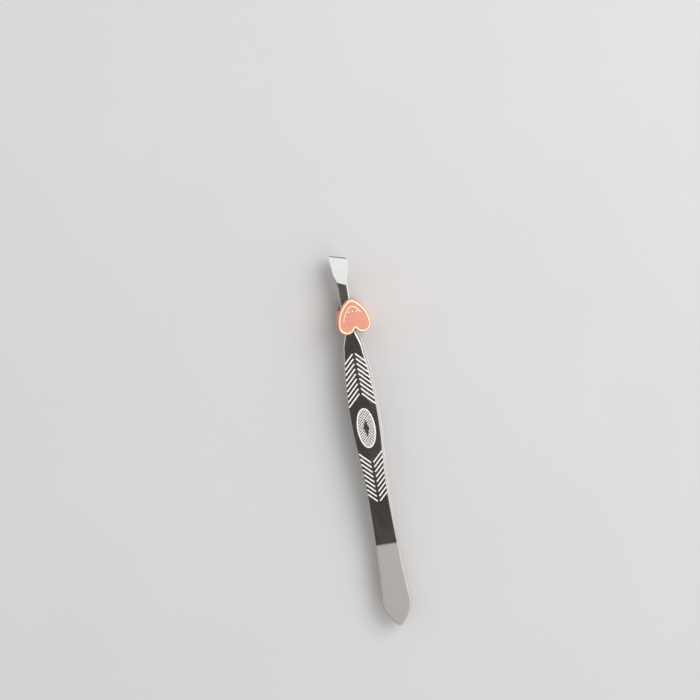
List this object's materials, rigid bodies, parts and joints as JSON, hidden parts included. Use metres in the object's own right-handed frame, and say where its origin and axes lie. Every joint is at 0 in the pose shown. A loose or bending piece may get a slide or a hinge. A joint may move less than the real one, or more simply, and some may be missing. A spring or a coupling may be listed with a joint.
{
  "type": "slant tweezers",
  "caption": "Steel slant-tip tweezers: two bowed leaves spot welded at a pointed butt, with an etched grip and a heart-shaped plastic ring that slides along the neck.",
  "frame": {"origin": "centre of the flat rear face of the welded butt, 11 mm in front of its end", "axes": "+Y along the tweezers towards the tips, +Z out of the front leaf's face on the heart's side, +X to the right when the tips point up and the heart is in front"},
  "size_m": [0.0096, 0.096, 0.0094],
  "materials": {
    "leaf_steel": "polished stainless steel, with a frosted etched pattern and ground tips",
    "weld_metal": "fused weld metal",
    "ring_plastic": "see-through salmon pink moulding",
    "foil": "hot-stamped pale gold foil"
  },
  "bodies": {
    "base": {"front_butt": "leaf_steel", "rear_butt": "leaf_steel", "weld_nuggets": "weld_metal"},
    "front_arm": {"front_blade": "leaf_steel"},
    "rear_arm": {"rear_blade": "leaf_steel"},
    "ring": {"heart_ring": "ring_plastic", "heart_foil": "foil"}
  },
  "joints": [
    {"name": "front_squeeze", "type": "hinge", "parent": "base", "child": "front_arm", "pos_m": [0, 0.011, 0.0015], "axis": [-1, 0, 0], "range_deg": [0, 0.69], "stiffness_Nm_per_rad": 3},
    {"name": "rear_squeeze", "type": "hinge", "parent": "base", "child": "rear_arm", "pos_m": [0, 0.011, 0.0005], "axis": [1, 0, 0], "range_deg": [0, 0.69], "stiffness_Nm_per_rad": 3},
    {"name": "ring_slide", "type": "slide", "parent": "base", "child": "ring", "axis": [0, 1, 0], "range_m": [-0.001, 0.0085]}
  ],
  "couplings": [
    {"joint": "rear_squeeze", "follows": "front_squeeze", "ratio": 1}
  ]
}
